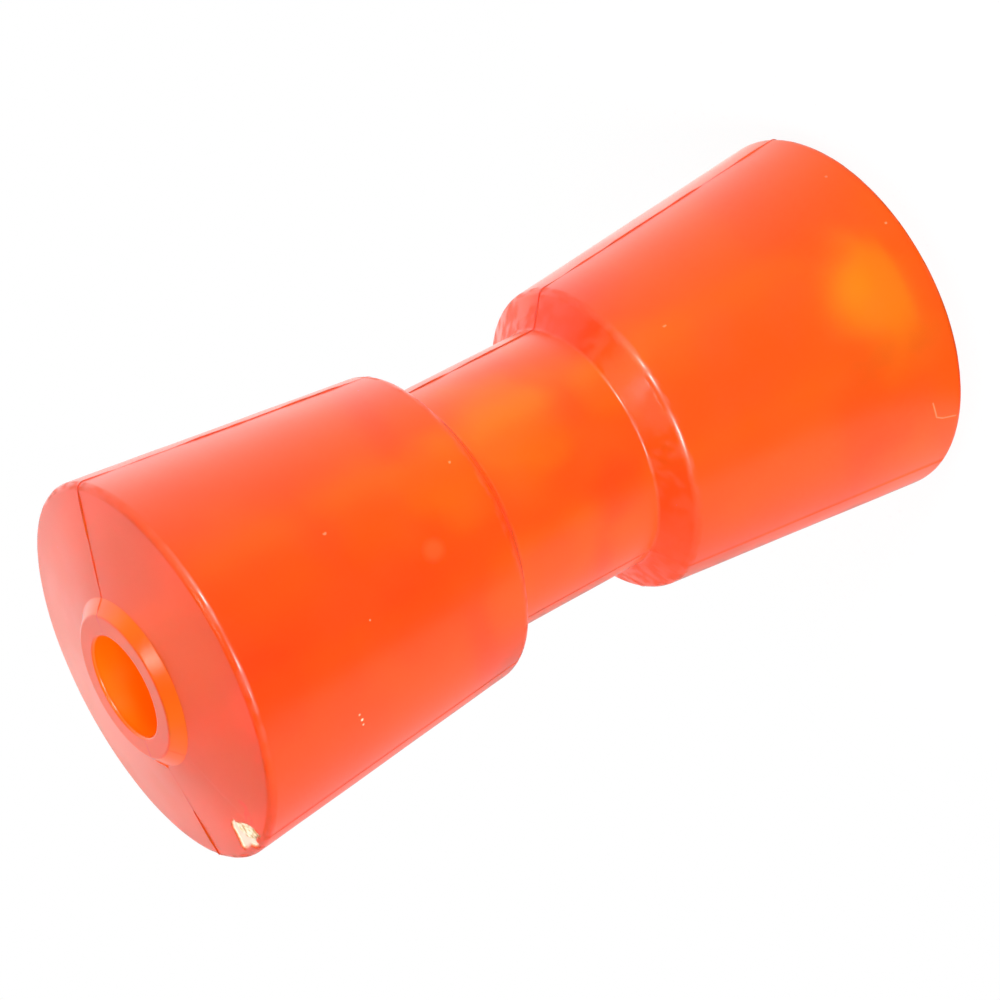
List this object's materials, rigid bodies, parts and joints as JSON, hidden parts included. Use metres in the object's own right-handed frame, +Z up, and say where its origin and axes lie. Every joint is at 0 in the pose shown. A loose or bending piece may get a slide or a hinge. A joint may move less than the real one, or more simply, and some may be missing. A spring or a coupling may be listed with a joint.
{
  "type": "boat trailer roller",
  "caption": "One-piece moulded keel roller: two flared drums, a narrow waist that a keel runs in, a through bore for a shaft and a raised boss on each end.",
  "frame": {"origin": "on the bore's axis, midway between the two end bosses", "axes": "+Z up the bore to the end with the chipped rim, as the roller stands on its other end; X through the moulding line on both sides"},
  "size_m": [0.086, 0.0854, 0.2],
  "materials": {
    "polyurethane": "gloss"
  },
  "bodies": {
    "root": {"roller": "polyurethane"}
  },
  "joints": []
}
